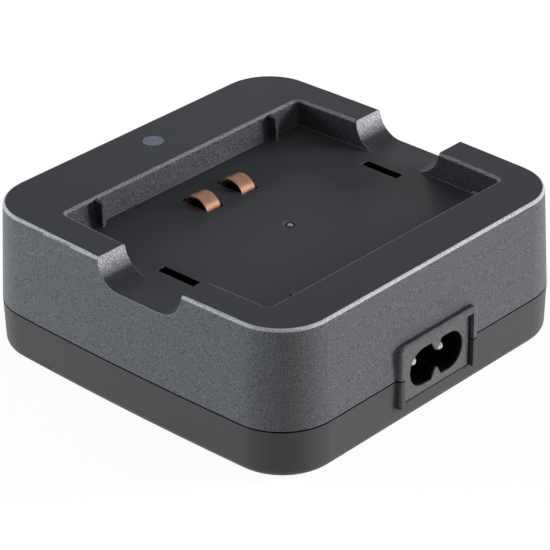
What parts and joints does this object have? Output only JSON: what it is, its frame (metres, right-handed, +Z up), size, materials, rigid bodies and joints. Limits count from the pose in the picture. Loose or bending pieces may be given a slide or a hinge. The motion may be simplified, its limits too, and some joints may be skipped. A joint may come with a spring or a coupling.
{
  "type": "camera battery charger",
  "caption": "Rounded square desk charger with a battery bay on top, sprung copper contacts, an indicator dot and a figure-eight mains inlet in the side",
  "frame": {"origin": "middle of the flat base, on the plane the charger rests on", "axes": "+Z up out of the battery bay, -Y out of the mains inlet, +X towards the right-hand finger notch seen from the inlet"},
  "size_m": [0.0924, 0.0911, 0.0342],
  "materials": {
    "upper_housing": "fine spark texture on the walls, satin on the top",
    "lower_housing": "satin",
    "indicator_lens": "frosted light pipe",
    "contact_left": "satin copper alloy",
    "contact_right": "satin copper alloy",
    "contact_tail_left": "satin copper alloy",
    "contact_tail_right": "satin copper alloy",
    "contact_carrier": "natural glass-filled",
    "inlet_body": "fine texture",
    "inlet_pin_left": "nickel plated",
    "inlet_pin_right": "nickel plated",
    "circuit_board": "solder mask",
    "transformer_core": "sintered ferrite",
    "transformer_bobbin": "moulded",
    "transformer_winding": "taped copper winding",
    "bulk_capacitor": "sleeved can",
    "output_capacitor_front": "sleeved can",
    "output_capacitor_rear": "sleeved can",
    "output_choke": "ferrite drum",
    "x_capacitor": "moulded box",
    "y_capacitor": "lacquered disc",
    "mains_choke": "coated ring core on a base",
    "mains_choke_coil_left": "enamelled copper wire",
    "mains_choke_coil_right": "enamelled copper wire",
    "bridge_rectifier": "moulded package",
    "switch_transistor": "moulded package",
    "heat_sink": "extruded",
    "fuse": "glass tube with plated caps",
    "opto_coupler": "moulded package",
    "control_chip": "moulded package",
    "indicator_led": "clear cap on a white body",
    "screw_front_left": "zinc plated",
    "screw_front_right": "zinc plated",
    "screw_rear_left": "zinc plated",
    "screw_rear_right": "zinc plated",
    "foot_front_left": "inset pad",
    "foot_front_right": "inset pad",
    "foot_rear_left": "inset pad",
    "foot_rear_right": "inset pad"
  },
  "bodies": {
    "case": {"upper_housing": "upper_housing", "lower_housing": "lower_housing", "indicator_lens": "indicator_lens", "contact_tail_left": "contact_tail_left", "contact_tail_right": "contact_tail_right", "contact_carrier": "contact_carrier", "inlet_body": "inlet_body", "inlet_pin_left": "inlet_pin_left", "inlet_pin_right": "inlet_pin_right", "circuit_board": "circuit_board", "transformer_core": "transformer_core", "transformer_bobbin": "transformer_bobbin", "transformer_winding": "transformer_winding", "bulk_capacitor": "bulk_capacitor", "output_capacitor_front": "output_capacitor_front", "output_capacitor_rear": "output_capacitor_rear", "output_choke": "output_choke", "x_capacitor": "x_capacitor", "y_capacitor": "y_capacitor", "mains_choke": "mains_choke", "mains_choke_coil_left": "mains_choke_coil_left", "mains_choke_coil_right": "mains_choke_coil_right", "bridge_rectifier": "bridge_rectifier", "switch_transistor": "switch_transistor", "heat_sink": "heat_sink", "fuse": "fuse", "opto_coupler": "opto_coupler", "control_chip": "control_chip", "indicator_led": "indicator_led", "screw_front_left": "screw_front_left", "screw_front_right": "screw_front_right", "screw_rear_left": "screw_rear_left", "screw_rear_right": "screw_rear_right", "foot_front_left": "foot_front_left", "foot_front_right": "foot_front_right", "foot_rear_left": "foot_rear_left", "foot_rear_right": "foot_rear_right"},
    "leaf_left": {"contact_left": "contact_left"},
    "leaf_right": {"contact_right": "contact_right"}
  },
  "joints": [
    {"name": "leaf_left_flex", "type": "hinge", "parent": "case", "child": "leaf_left", "pos_m": [-0.00545, 0.0234, 0.0246], "axis": [1, 0, 0], "range_deg": [0, 9], "stiffness_Nm_per_rad": 0.05},
    {"name": "leaf_right_flex", "type": "hinge", "parent": "case", "child": "leaf_right", "pos_m": [0.00545, 0.0234, 0.0246], "axis": [1, 0, 0], "range_deg": [0, 9], "stiffness_Nm_per_rad": 0.05}
  ]
}
